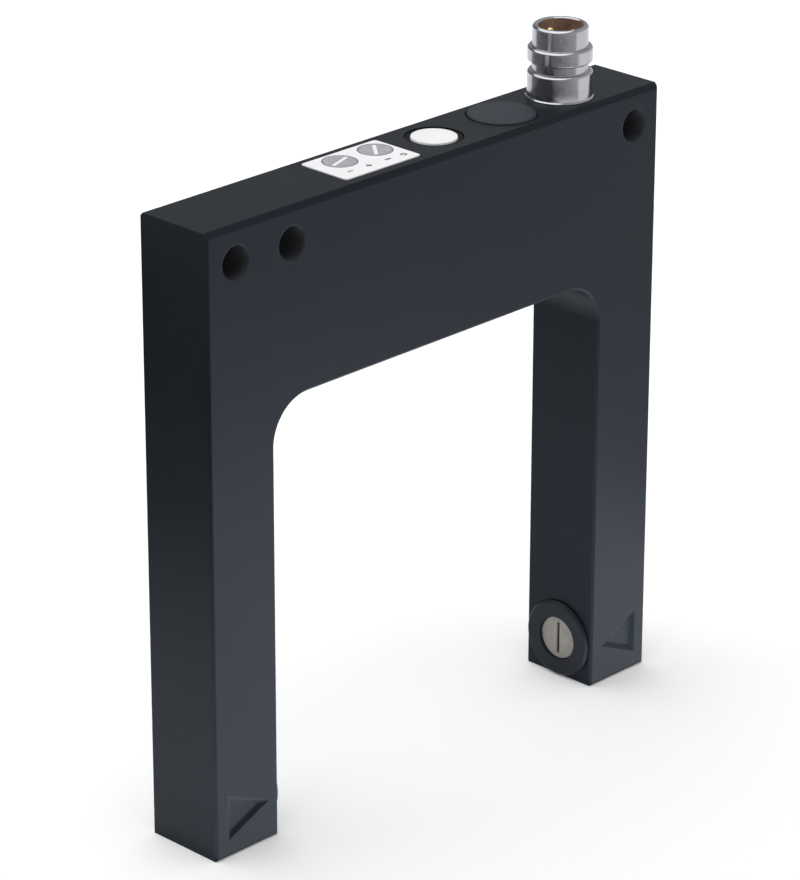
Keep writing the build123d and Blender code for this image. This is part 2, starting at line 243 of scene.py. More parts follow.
def ranged(tree, value, fromMin, fromMax, toMin, toMax):
    node = addNode(tree, "ShaderNodeMapRange", {
        "Value": value, "From Min": fromMin, "From Max": fromMax, "To Min": toMin, "To Max": toMax})
    return node.outputs["Result"]


def mixColours(tree, factor, first, second):
    first, second = (value if isinstance(value, bpy.types.NodeSocket) else (*value, 1)
                     for value in (first, second))
    # sockets 6 and 7 take the Mix node's colours, and its output 2 gives one
    node = addNode(tree, "ShaderNodeMix", {0: factor, 6: first, 7: second}, data_type="RGBA")
    return node.outputs[2]


def newGroup(name, inputs, outputs):
    group = bpy.data.node_groups.new(name, "ShaderNodeTree")
    for socketName, start in inputs.items():
        kind = "NodeSocketVector" if start is None else "NodeSocketFloat"
        socket = group.interface.new_socket(socketName, in_out="INPUT", socket_type=kind)
        if start is not None:
            socket.default_value = start
    for socketName, kind in outputs.items():
        group.interface.new_socket(socketName, in_out="OUTPUT", socket_type=kind)
    given = group.nodes.new("NodeGroupInput").outputs
    result = group.nodes.new("NodeGroupOutput").inputs
    return group, given, result


# Fine grain: a small even texture with slow clouds of tone in it
def makeFineGrain():
    group, given, result = newGroup(
        "fineGrain", {"Place": None, "Grain Size": 0.0002, "Cloud Size": 0.01, "Cloud Share": 0.5},
        {"Tone": "NodeSocketFloat", "Height": "NodeSocketFloat"})
    grain = addNode(group, "ShaderNodeTexNoise", {
        "Vector": given["Place"], "Scale": maths(group, "DIVIDE", 1.0, given["Grain Size"]),
        "Detail": 2.0, "Roughness": 0.6})
    cloud = addNode(group, "ShaderNodeTexNoise", {
        "Vector": given["Place"], "Scale": maths(group, "DIVIDE", 1.0, given["Cloud Size"]),
        "Detail": 3.0, "Roughness": 0.5})
    tone = addNode(group, "ShaderNodeMix", {
        0: given["Cloud Share"], 2: grain.outputs[0], 3: cloud.outputs[0]})
    group.links.new(tone.outputs[0], result["Tone"])
    group.links.new(grain.outputs[0], result["Height"])
    return group


# Edge wear and painted edge highlight: a broken mask that lightens the edges, partly as worn edges and partly
# as painted glints, and a normal that rounds them a little
wearAndGlintShape = {"flat": 0.995, "sharp": 0.86, "gapLow": 0.35, "gapHigh": 0.6, "gapShare": 0.25, "samples": 6}


def makeEdgeWearAndGlint():
    group, given, result = newGroup(
        "edgeWearAndGlint", {"Place": None, "Width": 0.0002, "Amount": 0.5, "Break Size": 0.001},
        {"Mask": "NodeSocketFloat", "Normal": "NodeSocketVector"})
    rounded = addNode(group, "ShaderNodeBevel", {"Radius": given["Width"]}, samples=wearAndGlintShape["samples"])
    plain = addNode(group, "ShaderNodeNewGeometry")
    likeness = addNode(group, "ShaderNodeVectorMath", {
        0: rounded.outputs["Normal"], 1: plain.outputs["Normal"]}, operation="DOT_PRODUCT")
    edge = ranged(group, likeness.outputs["Value"], wearAndGlintShape["flat"], wearAndGlintShape["sharp"], 0.0, 1.0)
    broken = addNode(group, "ShaderNodeTexNoise", {
        "Vector": given["Place"], "Scale": maths(group, "DIVIDE", 1.0, given["Break Size"]),
        "Detail": 3.0, "Roughness": 0.65})
    gaps = ranged(group, broken.outputs[0], wearAndGlintShape["gapLow"], wearAndGlintShape["gapHigh"],
                  wearAndGlintShape["gapShare"], 1.0)
    wornAndGlinting = maths(group, "MULTIPLY", edge, gaps)
    amount = maths(group, "MULTIPLY", wornAndGlinting, given["Amount"], clamp=True)
    group.links.new(amount, result["Mask"])
    group.links.new(rounded.outputs["Normal"], result["Normal"])
    return group


# Turning marks: very fine rings round an upright axis, as a lathe leaves them
latheMarks = {"bandScale": 0.32, "distortion": 1.2, "detailScale": 0.4}


def makeTurningMarks():
    group, given, result = newGroup(
        "turningMarks", {"Place": None, "Pitch": 0.0001}, {"Height": "NodeSocketFloat"})
    rings = addNode(group, "ShaderNodeTexWave", {
        "Vector": given["Place"], "Scale": maths(group, "DIVIDE", latheMarks["bandScale"], given["Pitch"]),
        "Distortion": latheMarks["distortion"], "Detail": 2.0, "Detail Scale": latheMarks["detailScale"]},
        wave_type="BANDS", bands_direction="Z")
    group.links.new(rings.outputs[1], result["Height"])
    return group


fineGrain = makeFineGrain()
edgeWearAndGlint = makeEdgeWearAndGlint()
turningMarks = makeTurningMarks()

# One entry a finish: colours are linear, sizes in metres; each edge colour lightens the edges, partly as wear
# and partly as a painted edge highlight
finishes = {
    "anodisedBlack": {
        "dark": (0.0052, 0.0066, 0.0092), "light": (0.0080, 0.0098, 0.0134), "roughness": (0.38, 0.48),
        "grain": 0.00016, "cloud": 0.012, "depth": 0.000003, "specular": 0.2, "sheen": (0.61, 0.81, 1.06),
        "wearAndGlint": (0.060, 0.066, 0.076), "wearAndGlintWidth": 0.00022, "wearAndGlintAmount": 0.3},
    # painted light: the hole walls are lighter, so that light seems to fall into the holes
    "holeWallPaintedLight": {
        "dark": (0.040, 0.042, 0.048), "light": (0.060, 0.063, 0.070), "roughness": (0.5, 0.6),
        "grain": 0.0002, "cloud": 0.002, "depth": 0.000004, "specular": 0.3},
    "nickelPlate": {
        "dark": (0.385, 0.39, 0.42), "light": (0.465, 0.47, 0.50), "roughness": (0.14, 0.22), "metallic": 1.0,
        "grain": 0.0003, "cloud": 0.003, "depth": 0.0000008, "marks": 0.00012,
        "wearAndGlint": (0.68, 0.67, 0.66), "wearAndGlintWidth": 0.00012, "wearAndGlintAmount": 0.3},
    # painted reflection: a warm brown for the bore's wall, standing in for the insert's and pins' reflections
    "borePaintedWarmReflection": {
        "dark": (0.28, 0.18, 0.13), "light": (0.52, 0.37, 0.28), "roughness": (0.48, 0.60), "metallic": 0.55,
        "grain": 0.0003, "cloud": 0.002, "depth": 0.000001},
    "goldPlate": {
        "dark": (0.78, 0.50, 0.20), "light": (0.92, 0.64, 0.30), "roughness": (0.14, 0.24), "metallic": 1.0,
        "grain": 0.0002, "cloud": 0.001, "depth": 0.0000008},
    "insertPlastic": {
        "dark": (0.30, 0.165, 0.10), "light": (0.42, 0.25, 0.16), "roughness": (0.42, 0.55),
        "grain": 0.00015, "cloud": 0.002, "depth": 0.000003},
    "blackRubber": {
        "dark": (0.006, 0.006, 0.007), "light": (0.010, 0.010, 0.011), "roughness": (0.62, 0.75),
        "grain": 0.00012, "cloud": 0.002, "depth": 0.000004, "specular": 0.12},
    "capPlastic": {
        "dark": (0.0185, 0.0225, 0.032), "light": (0.0250, 0.0300, 0.042), "roughness": (0.45, 0.56),
        "grain": 0.00018, "cloud": 0.004, "depth": 0.000004, "specular": 0.3,
        "wearAndGlint": (0.10, 0.11, 0.12), "wearAndGlintWidth": 0.0002, "wearAndGlintAmount": 0.25},
    "milkyPlastic": {
        "dark": (0.93, 0.94, 0.94), "light": (0.97, 0.975, 0.97), "roughness": (0.28, 0.36),
        "grain": 0.0003, "cloud": 0.002, "depth": 0.000001, "subsurface": 0.3},
    "labelFilm": {
        "dark": (0.88, 0.87, 0.89), "light": (0.94, 0.93, 0.95), "roughness": (0.38, 0.48),
        "grain": 0.0002, "cloud": 0.004, "depth": 0.000001},
    "dialInk": {
        "dark": (0.32, 0.30, 0.33), "light": (0.47, 0.45, 0.48), "roughness": (0.40, 0.50),
        "grain": 0.0004, "cloud": 0.0012, "depth": 0.000001},
    "darkInk": {
        "dark": (0.16, 0.155, 0.165), "light": (0.24, 0.23, 0.245), "roughness": (0.40, 0.50),
        "grain": 0.00012, "cloud": 0.001, "depth": 0.000001},
    "bezelBlack": {
        "dark": (0.0095, 0.0105, 0.013), "light": (0.0135, 0.015, 0.0185), "roughness": (0.36, 0.46),
        "grain": 0.00014, "cloud": 0.003, "depth": 0.000003, "specular": 0.22, "sheen": (0.70, 0.84, 1.0),
        "wearAndGlint": (0.05, 0.055, 0.062), "wearAndGlintWidth": 0.00015, "wearAndGlintAmount": 0.12},
    "slitMetal": {
        "dark": (0.235, 0.222, 0.198), "light": (0.325, 0.308, 0.275), "roughness": (0.34, 0.44),
        "metallic": 0.2, "grain": 0.00012, "cloud": 0.0015, "depth": 0.000002},
    "filterGlass": {
        "dark": (0.012, 0.006, 0.010), "light": (0.018, 0.009, 0.015), "roughness": (0.08, 0.12),
        "grain": 0.0003, "cloud": 0.002, "depth": 0.0000005},
    "screwSteel": {
        "dark": (0.42, 0.42, 0.43), "light": (0.54, 0.54, 0.55), "roughness": (0.24, 0.34), "metallic": 1.0,
        "grain": 0.0002, "cloud": 0.002, "depth": 0.000001,
        "wearAndGlint": (0.68, 0.68, 0.68), "wearAndGlintWidth": 0.0001, "wearAndGlintAmount": 0.3},
    "boardLaminate": {
        "dark": (0.010, 0.075, 0.032), "light": (0.020, 0.125, 0.055), "roughness": (0.34, 0.44),
        "grain": 0.0009, "cloud": 0.003, "depth": 0.000006},
    "chipPlastic": {
        "dark": (0.016, 0.016, 0.017), "light": (0.024, 0.024, 0.026), "roughness": (0.5, 0.6),
        "grain": 0.0001, "cloud": 0.002, "depth": 0.000004},
    "capacitorCase": {
        "dark": (0.62, 0.40, 0.08), "light": (0.74, 0.50, 0.12), "roughness": (0.4, 0.5),
        "grain": 0.0001, "cloud": 0.002, "depth": 0.000003},
    "amberFilm": {
        "dark": (0.42, 0.16, 0.02), "light": (0.55, 0.24, 0.04), "roughness": (0.25, 0.35),
        "grain": 0.0003, "cloud": 0.002, "depth": 0.000002},
    "lampResin": {
        "dark": (0.70, 0.72, 0.66), "light": (0.82, 0.84, 0.78), "roughness": (0.18, 0.26),
        "grain": 0.0003, "cloud": 0.001, "depth": 0.000001, "subsurface": 0.2},
    "whitePlastic": {
        "dark": (0.72, 0.72, 0.70), "light": (0.80, 0.80, 0.78), "roughness": (0.38, 0.48),
        "grain": 0.00012, "cloud": 0.002, "depth": 0.000003},
    "bluePlastic": {
        "dark": (0.02, 0.08, 0.34), "light": (0.03, 0.12, 0.44), "roughness": (0.36, 0.46),
        "grain": 0.00012, "cloud": 0.002, "depth": 0.000003},
}


toneSpread = (0.35, 0.65)   # where most of the grain's tone lies
softDepth = 0.0012   # how far light goes into the milky finishes


def makeFinish(name, values):
    material, tree = newMaterial(name)
    place = addNode(tree, "ShaderNodeTexCoord").outputs["Object"]
    grain = addNode(tree, "ShaderNodeGroup", {
        "Place": place, "Grain Size": values["grain"], "Cloud Size": values["cloud"]},
        node_tree=fineGrain)
    tone = grain.outputs["Tone"]
    colour = mixColours(tree, ranged(tree, tone, *toneSpread, 0.0, 1.0), values["dark"], values["light"])
    roughness = ranged(tree, tone, *toneSpread, *values["roughness"])
    height = grain.outputs["Height"]
    bump = addNode(tree, "ShaderNodeBump", {"Strength": 1.0, "Distance": values["depth"]})
    if "marks" in values:
        marks = addNode(tree, "ShaderNodeGroup", {"Place": place, "Pitch": values["marks"]},
                        node_tree=turningMarks)
        height = maths(tree, "ADD", height, marks.outputs["Height"])
    tree.links.new(height, bump.inputs["Height"])
    if "wearAndGlint" in values:
        wearAndGlint = addNode(tree, "ShaderNodeGroup", {
            "Place": place, "Width": values["wearAndGlintWidth"], "Amount": values["wearAndGlintAmount"]},
            node_tree=edgeWearAndGlint)
        # lightens the edges: partly wear, partly a painted highlight along them
        colour = mixColours(tree, wearAndGlint.outputs["Mask"], colour, values["wearAndGlint"])
        tree.links.new(wearAndGlint.outputs["Normal"], bump.inputs["Normal"])
    shader = addNode(tree, "ShaderNodeBsdfPrincipled", {
        "Base Color": colour, "Roughness": roughness, "Normal": bump.outputs["Normal"],
        "Metallic": values.get("metallic", 0.0), "Specular IOR Level": values.get("specular", 0.5),
        "Specular Tint": (*values.get("sheen", (1, 1, 1)), 1),
        "Subsurface Weight": values.get("subsurface", 0.0), "Subsurface Scale": softDepth,
        "Subsurface Radius": (1.0, 0.95, 0.9)})
    addNode(tree, "ShaderNodeOutputMaterial", {"Surface": shader.outputs[0]})
    return material


finish = {name: makeFinish(name, values) for name, values in finishes.items()}
print("finishes made:", len(finish))


def dress(piece, finishName, body=None, replaces=()):
    piece.data.materials.clear()
    piece.data.materials.append(finish[finishName])
    if body:
        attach(piece, body)
        if replaces:
            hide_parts(*replaces)
    return piece


# CAD nodes that keep their own shape and only get their finish
nodeFinishes = {
    "connector_seal": "blackRubber", "cap_seal": "blackRubber", "control_label": "labelFilm",
    "status_led": "lampResin", "emitter_lens": "filterGlass", "receiver_lens": "filterGlass",
    "emitter_led": "lampResin", "receiver_diode": "chipPlastic", "signal_chip": "chipPlastic",
    "board_capacitors": "capacitorCase", "main_board": "boardLaminate", "emitter_board": "boardLaminate",
    "receiver_board": "boardLaminate", "emitter_flex": "amberFilm", "receiver_flex": "amberFilm",
    "board_screws": "screwSteel",
    "sensitivity_trimmer_body": "bluePlastic", "mode_switch_body": "bluePlastic",
    "sensitivity_trimmer_rotor": "whitePlastic", "mode_switch_rotor": "whitePlastic",
}
for node, finishName in nodeFinishes.items():
    dress(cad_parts[node], finishName)


# Milled parts: the CAD faces joined up, with their sharp edges broken as anodising leaves them
milled = {"edge": 0.14, "flat": 0.3, "hole": 2.25, "holeMargin": 0.01,
          "holes": ((-36.25, 80.25), (-26.75, 80.25), (36.25, 80.25)),
          "triangleFloor": -5.4, "triangleRaised": -5.57, "triangleShare": 0.92, "triangleMargin": 0.02}


def milledCopy(node, name):
    piece = bpy.data.objects.new(name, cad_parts[node].data.copy())
    bpy.context.scene.collection.objects.link(piece)
    nameIt(piece, name)
    editOn(piece)
    bpy.ops.mesh.remove_doubles(threshold=weldDistance)
    bpy.ops.mesh.dissolve_limited(angle_limit=math.radians(milled["flat"]))
    editOff()
    slopeTriangles(piece)
    softenEdges(piece, milled["edge"] * mm)
    smoothShade(piece)
    evenNormals(piece)
    return piece


def slopeTriangles(piece):
    # the direction triangles' walls slope less than the CAD's, so that each of them shows
    tips = beamHeight * 4   # both triangles lie well below this height
    low = [vertex for vertex in piece.data.vertices if vertex.co.z < tips
           and abs(vertex.co.y - milled["triangleFloor"] * mm) < milled["triangleMargin"] * mm]
    for side in (-1, 1):
        corners = [vertex for vertex in low if vertex.co.x * side > 0]
        if len(corners) != 3:
            continue
        spans = [(corners[number - 2].co - corners[number - 1].co).length for number in range(3)]
        centre = sum((corner.co * span for corner, span in zip(corners, spans)), Vector()) / sum(spans)
        for corner in corners:
            corner.co = centre + (corner.co - centre) * milled["triangleShare"]
            corner.co.y = milled["triangleRaised"] * mm


def paintHoles(piece):
    # the hole walls are painted lighter than the milled faces: painted light that stands in for the light
    # falling into the holes
    piece.data.materials.append(finish["holeWallPaintedLight"])
    reach = (milled["hole"] + milled["holeMargin"]) * mm
    for face in piece.data.polygons:
        for x, z in milled["holes"]:
            if math.hypot(face.center.x - x * mm, face.center.z - z * mm) < reach:
                face.material_index = 1


forkBody = milledCopy("fork_housing", "forkBody")
dress(forkBody, "anodisedBlack", "fork", ["fork_housing"])
paintHoles(forkBody)
rearPlate = milledCopy("back_cover", "rearPlate")
dress(rearPlate, "anodisedBlack", "fork", ["back_cover"])
print("milled parts done:", len(forkBody.data.polygons), len(rearPlate.data.polygons))


# Cover screws: countersunk, slotted, flush with the rear plate
screw = {"head": 3.6, "shank": 1.9, "length": 5.0, "edge": 0.06, "tip": 0.1, "flatShare": 0.55,
         "slotWidth": 0.5, "slotDepth": 0.4, "turns": (12, 75, 148, 40),
         "places": ((-37.75, 24.5), (37.75, 24.5), (-12.0, 63.25), (12.0, 63.25))}


def makeCoverScrew():
    head, shank, edge, tip = screw["head"] / 2, screw["shank"] / 2, screw["edge"], screw["tip"]
    piece = turned("coverScrewHead", [
        (shank - tip, -screw["length"]), (shank, -screw["length"] + tip), (shank, shank - head),
        (head, -edge), (head - edge, 0), (head * screw["flatShare"], 0)], segments=64)
    slotSize = (head * 3 * mm, screw["slotWidth"] * mm, screw["slotDepth"] * 2 * mm)
    cutAway(piece, barAt("slotCutter", (0, 0, 0), slotSize))
    smoothShade(piece)
    return piece


oneScrew = makeCoverScrew()
screws = []
for number, (x, z) in enumerate(screw["places"]):
    copied = copyPiece(oneScrew, "coverScrewCopy" + str(number))
    moveTo(copied, (0, 0, 0), (0, 0, screw["turns"][number]))
    screws.append(moveTo(copied, (x * mm, backFace, z * mm), (-90, 0, 0)))
bpy.data.objects.remove(oneScrew)
coverScrews = joinAll(screws, "coverScrewSet")
dress(coverScrews, "screwSteel", "fork", ["cover_screws"])
print("cover screws done")


# Plug: a turned nickel shell, its insert and three pins
plug = {"foot": -3.0, "collar": 8.6, "barrel": 7.4, "bore": 5.9, "shank": 7.0, "collarTop": 3.6,
        "ringLow": 4.8, "ringTop": 6.9, "top": 9.7, "edge": 0.25, "corner": 0.05, "footEdge": 0.2,
        "rimEdge": 0.15, "boreMargin": 0.01, "flare": 0.25,
        "flareShape": ((1.0, 0.0), (1.0, 0.1), (0.36, 0.3), (0.13, 0.8), (0.04, 1.5), (0.0, 2.3)),
        "insertFace": 5.2, "insertLow": -4.5, "insertGap": 0.05, "insertEdge": 0.15, "insertDish": 0.8,
        "pin": 1.0, "pinCircle": 3.6, "pinTop": 8.8, "pinLow": -7.9, "pinFoot": (0.8, 0.15),
        "pinTip": ((1.0, 0.45), (0.92, 0.22), (0.7, 0.07), (0.35, 0.0))}   # share of the radius, depth


def makePlugShell():
    collar, barrel, bore, shank = (plug[key] / 2 for key in ("collar", "barrel", "bore", "shank"))
    foot, collarTop, ringLow, ringTop, top = (
        plug[key] for key in ("foot", "collarTop", "ringLow", "ringTop", "top"))
    edge, corner, footEdge, rimEdge = (plug[key] for key in ("edge", "corner", "footEdge", "rimEdge"))
    soft = edge * 0.4
    rings = [
        (bore, foot), (shank - footEdge, foot), (shank, foot + footEdge), (shank, 0.0),
        *((collar + plug["flare"] * share, height) for share, height in plug["flareShape"]),
        (collar, collarTop - edge), (collar - soft, collarTop - soft), (collar - edge, collarTop),
        (barrel + corner, collarTop), (barrel, collarTop + corner),
        (barrel, ringLow - corner), (barrel + corner, ringLow), (collar - edge, ringLow),
        (collar, ringLow + edge), (collar, ringTop - edge), (collar - soft, ringTop - soft),
        (collar - edge, ringTop), (barrel + corner, ringTop), (barrel, ringTop + corner),
        (barrel, top - edge), (barrel - soft, top - soft), (barrel - edge, top),
        (bore + rimEdge, top), (bore, top - rimEdge), (bore, foot)]
    piece = turned("plugShell", rings, closed=False, segments=160)
    smoothShade(piece, 30)
    return moveTo(piece, (plugX, 0, topFace))


def paintBore(piece):
    # the bore's wall is painted warm brown and lighter than the plating: a painted reflection of the brown
    # insert and gold pins in the dark bore
    piece.data.materials.append(finish["borePaintedWarmReflection"])
    reach = (plug["bore"] / 2 + plug["boreMargin"]) * mm
    for face in piece.data.polygons:
        if math.hypot(face.center.x - plugX, face.center.y) < reach and face.center.z > topFace:
            face.material_index = 1


def pinPlace(number):
    angle, reach = math.radians(90 + 120 * number), plug["pinCircle"] / 2 * mm
    return reach * math.cos(angle), reach * math.sin(angle)


def makePlugInsert():
    radius, face = plug["bore"] / 2 - plug["insertGap"], plug["top"] - plug["insertFace"]
    edge, dish = plug["insertEdge"], radius * plug["insertDish"]
    piece = turned("plugInsert", [
        (radius, plug["insertLow"]), (radius, face - edge), (radius - edge, face), (dish, face),
        (dish - 0.1, face - edge)])
    for number in range(3):
        hole = turned("pinHole", [(plug["pin"] / 2, -9), (plug["pin"] / 2, 9)], segments=40)   # right through
        cutAway(piece, moveTo(hole, (*pinPlace(number), 0)))
    smoothShade(piece, 30)
    return moveTo(piece, (plugX, 0, topFace))


def makePlugPins():
    radius, low = plug["pin"] / 2, plug["pinLow"]
    footShare, footEdge = plug["pinFoot"]
    tip = [(radius * share, plug["pinTop"] - depth) for share, depth in plug["pinTip"]]
    first = turned("plugPin0", [(radius * footShare, low), (radius, low + footEdge)] + tip, segments=48)
    pins = [first, copyPiece(first, "plugPin1"), copyPiece(first, "plugPin2")]
    for number, pin in enumerate(pins):
        x, y = pinPlace(number)
        moveTo(pin, (plugX + x, y, topFace))
    piece = joinAll(pins, "plugPins")
    smoothShade(piece, 40)
    return piece


plugShell = makePlugShell()
dress(plugShell, "nickelPlate", "fork", ["connector_shell"])
paintBore(plugShell)
dress(makePlugInsert(), "insertPlastic", "fork", ["connector_insert"])
dress(makePlugPins(), "goldPlate", "fork", ["connector_pins"])
print("plug done")


# Status window: a milky lens in a dark ring
window = {"diameter": 6.1, "seat": -0.9, "rise": 0.15, "edge": 0.12, "crown": 0.06, "stem": 4.0,
          "stemLow": -2.8, "ring": 0.75, "ringTop": -0.14, "ringGap": 0.05, "ringEdge": 0.1}


def makeWindow():
    radius, stem, seat = window["diameter"] / 2, window["stem"] / 2, window["seat"]
    top, edge = window["rise"] - window["crown"], window["edge"]
    soft = edge * 0.3
    rings = [(stem, window["stemLow"]), (stem, seat), (radius, seat), (radius, top - edge),
             (radius - soft, top - soft)]
    rings += domeRings(radius - edge, top, window["crown"])
    piece = turned("statusWindow", rings)
    smoothShade(piece, 40)
    return moveTo(piece, (windowX, 0, topFace))


def makeWindowRing():
    inner = window["diameter"] / 2 + window["ringGap"]
    outer = inner + window["ring"]
    low, top, edge = window["seat"], window["ringTop"], window["ringEdge"]
    piece = turned("windowRing", [
        (inner, low), (outer, low), (outer, top - edge), (outer - edge, top), (inner + edge, top),
        (inner, top - edge), (inner, low)], closed=False)
    smoothShade(piece, 40)
    return moveTo(piece, (windowX, 0, topFace))


dress(makeWindow(), "milkyPlastic", "fork", ["led_window"])
dress(makeWindowRing(), "blackRubber", "fork", ["window_seal"])


# Cap over the adjusters: a flat moulded lid with a chamfered rim
cap = {"diameter": 9.1, "rise": 0.25, "flange": -0.5, "spigot": 8.0, "foot": -2.2, "footEdge": 0.2,
       "hollow": 5.6, "hollowTop": -0.9, "hollowEdge": 0.1, "chamfer": 0.2, "chamferSoft": (0.35, 0.45)}


def makeCap():
    radius, spigot, hollow = cap["diameter"] / 2, cap["spigot"] / 2, cap["hollow"] / 2
    foot, flange, top, chamfer = cap["foot"], cap["flange"], cap["rise"], cap["chamfer"]
    inward, down = cap["chamferSoft"]
    piece = turned("adjusterLid", [
        (hollow * 0.5, cap["hollowTop"]), (hollow, cap["hollowTop"]), (hollow, foot + cap["hollowEdge"]),
        (hollow + cap["hollowEdge"], foot), (spigot - cap["footEdge"], foot),
        (spigot, foot + cap["footEdge"]), (spigot, flange), (radius, flange), (radius, top - chamfer),
        (radius - chamfer * inward, top - chamfer * down), (radius - chamfer, top), (radius * 0.6, top)])
    smoothShade(piece, 25)
    return moveTo(piece, (capX, 0, topFace))


dress(makeCap(), "capPlastic", "fork", ["adjuster_cap"])
print("window and cap done")


# Beam windows: a raised round bezel on each arm's inner face, and a pale disc with an upright slit
beam = {"bezel": 11.0, "proud": 0.6, "chamfer": 0.3, "lip": 0.12, "spigot": 7.4, "spigotLength": 2.0,
        "bore": 5.3, "disc": 6.1, "discGap": 0.05, "discEdge": 0.05, "discThickness": 0.3, "recess": 0.4,
        "slitWidth": 0.5, "slitLength": 4.8}
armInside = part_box("receiver_bezel")[1].x - beam["spigotLength"] * mm   # the opening's wall


def makeBezel(name, side):
    outer, spigot, bore = beam["bezel"] / 2, beam["spigot"] / 2, beam["bore"] / 2
    seat = beam["disc"] / 2 + beam["discGap"]
    top, chamfer, lip, length = beam["proud"], beam["chamfer"], beam["lip"], beam["spigotLength"]
    soft = chamfer * 0.4
    shelf = top - beam["recess"] - beam["discThickness"]
    piece = turned(name, [
        (bore, -length), (spigot, -length), (spigot, 0), (outer, 0), (outer, top - chamfer),
        (outer - soft, top - soft), (outer - chamfer, top), (seat + lip, top), (seat, top - lip),
        (seat, shelf), (bore, shelf), (bore, -length)], closed=False)
    smoothShade(piece, 30)
    return moveTo(piece, (side * armInside, 0, beamHeight), (0, -90 * side, 0))


def makeSlitDisc(name, side):
    radius, top = beam["disc"] / 2, beam["proud"] - beam["recess"]
    low, edge, width = top - beam["discThickness"], beam["discEdge"], beam["slitWidth"]
    piece = turned(name, [(radius, low), (radius, top - edge), (radius - edge, top), (radius * 0.6, top)])
    half = (beam["slitLength"] - width) / 2
    # a bar and two round ends cut the slit right through the thin disc
    cutAway(piece, barAt("slitCutter", (0, 0, top * mm), (half * 2 * mm, width * mm, 2 * mm)))
    for end in (-1, 1):
        rounded = turned("slitEnd", [(width / 2, -1), (width / 2, 3)], segments=32)
        cutAway(piece, moveTo(rounded, (end * half * mm, 0, 0)))
    smoothShade(piece, 30)
    return moveTo(piece, (side * armInside, 0, beamHeight), (0, -90 * side, 0))


for lead, side in (("emitter", -1), ("receiver", 1)):
    dress(makeBezel(lead + "Surround", side), "bezelBlack", "fork", [lead + "_bezel"])
    dress(makeSlitDisc(lead + "SlitPlate", side), "slitMetal", "fork",
          [lead + "_slit_disc"])
print("beam windows done")


# Label print: two adjuster dials, each a rimmed disc with a slot, and the marks by them
dial = {"radius": 2.35, "rim": 0.22, "slotWidth": 0.5, "slotShare": 1.7, "thickness": 0.02, "sunk": 0.5,
        "places": ((-11.2, 1.35, 18), (-4.9, 1.35, 50))}
marks = {"size": 0.95, "line": 0.26, "barShare": 1.6, "minus": (-12.9, -2.2), "plus": (-9.7, -2.3),
         "bar": (-6.3, -2.3), "ring": (-3.6, -2.4)}


def printed(piece):
    # half sunk into the label, so that no gap shows under the ink
    return moveTo(piece, (0, 0, labelTop - dial["thickness"] * dial["sunk"] * mm))


def makeDialFace(x, y, angle):
    radius = dial["radius"] - dial["rim"]
    face = turned("dialFace", [(radius, 0), (radius, dial["thickness"]), (radius * 0.5, dial["thickness"])])
    slotSize = (radius * dial["slotShare"] * mm, dial["slotWidth"] * mm, 1 * mm)
    cutAway(face, barAt("dialSlot", (0, 0, 0), slotSize))
    return printed(moveTo(face, (x * mm, y * mm, 0), (0, 0, angle)))


def makeDialRim(x, y, radius, line):
    top = dial["thickness"]
    rim = turned("dialRim", [(radius - line, 0), (radius, 0), (radius, top), (radius - line, top),
                             (radius - line, 0)], closed=False)
    return printed(moveTo(rim, (x * mm, y * mm, 0)))


def makeMark(x, y, width, height):
    size = (width * mm, height * mm, dial["thickness"] * mm)
    bar = barAt("markBar", (x * mm, y * mm, dial["thickness"] / 2 * mm), size)
    return printed(bar)


def makeLabelPrint():
    faces = [makeDialFace(*place) for place in dial["places"]]
    lines = [makeDialRim(x, y, dial["radius"], dial["rim"]) for x, y, angle in dial["places"]]
    size, line = marks["size"], marks["line"]
    lines.append(makeMark(*marks["minus"], size, line))
    lines.append(makeMark(*marks["plus"], size, line))
    lines.append(makeMark(*marks["plus"], line, size))
    lines.append(makeMark(*marks["bar"], size, line * marks["barShare"]))
    lines.append(makeDialRim(*marks["ring"], size / 2, line))
    return joinAll(faces, "dialFaces"), joinAll(lines, "dialLines")


dialFaces, dialLines = makeLabelPrint()
dress(dialFaces, "dialInk", "fork")
dress(dialLines, "darkInk", "fork")
print("label print done")


# Studio: a pale floor, a soft sky that is darker overhead and to the left, and soft lamps
studio = {"floorColour": (0.93, 0.93, 0.93), "floorSize": 16.0, "floorDrop": 0.00005, "floorGlow": 0.14,
          "skyColour": (0.98, 0.99, 1.0), "skyDark": 0.16, "skyBright": 0.75,
          "skySpread": (-0.7, 0.9), "skyDirection": (0.72, -0.62, -0.3),
          "sun": 2.3, "sunAngle": 80.0, "sunFrom": (-0.15, 0.25, 1.0), "lampHeight": 0.0004}
# Lamps that lie on the floor and shine up: place of the middle, size and power
floorLamps = {
    "frontFloor": {"place": (-0.01, -0.056), "size": (0.18, 0.10), "power": 0.088},
    "leftFloor": {"place": (-0.082, 0.04), "size": (0.08, 0.14), "power": 0.0095},
}
# Dark cards on an arc round the plug, on the camera's side and the left; only reflections see them
cards = {"middle": (0.028, 0.0), "radius": 0.13, "first": 108, "last": 290, "height": 0.065,
         "tones": (0.24, 0.16, 0.12, 0.13, 0.17, 0.19, 0.20, 0.24, 0.32, 0.42, 0.48, 0.50)}


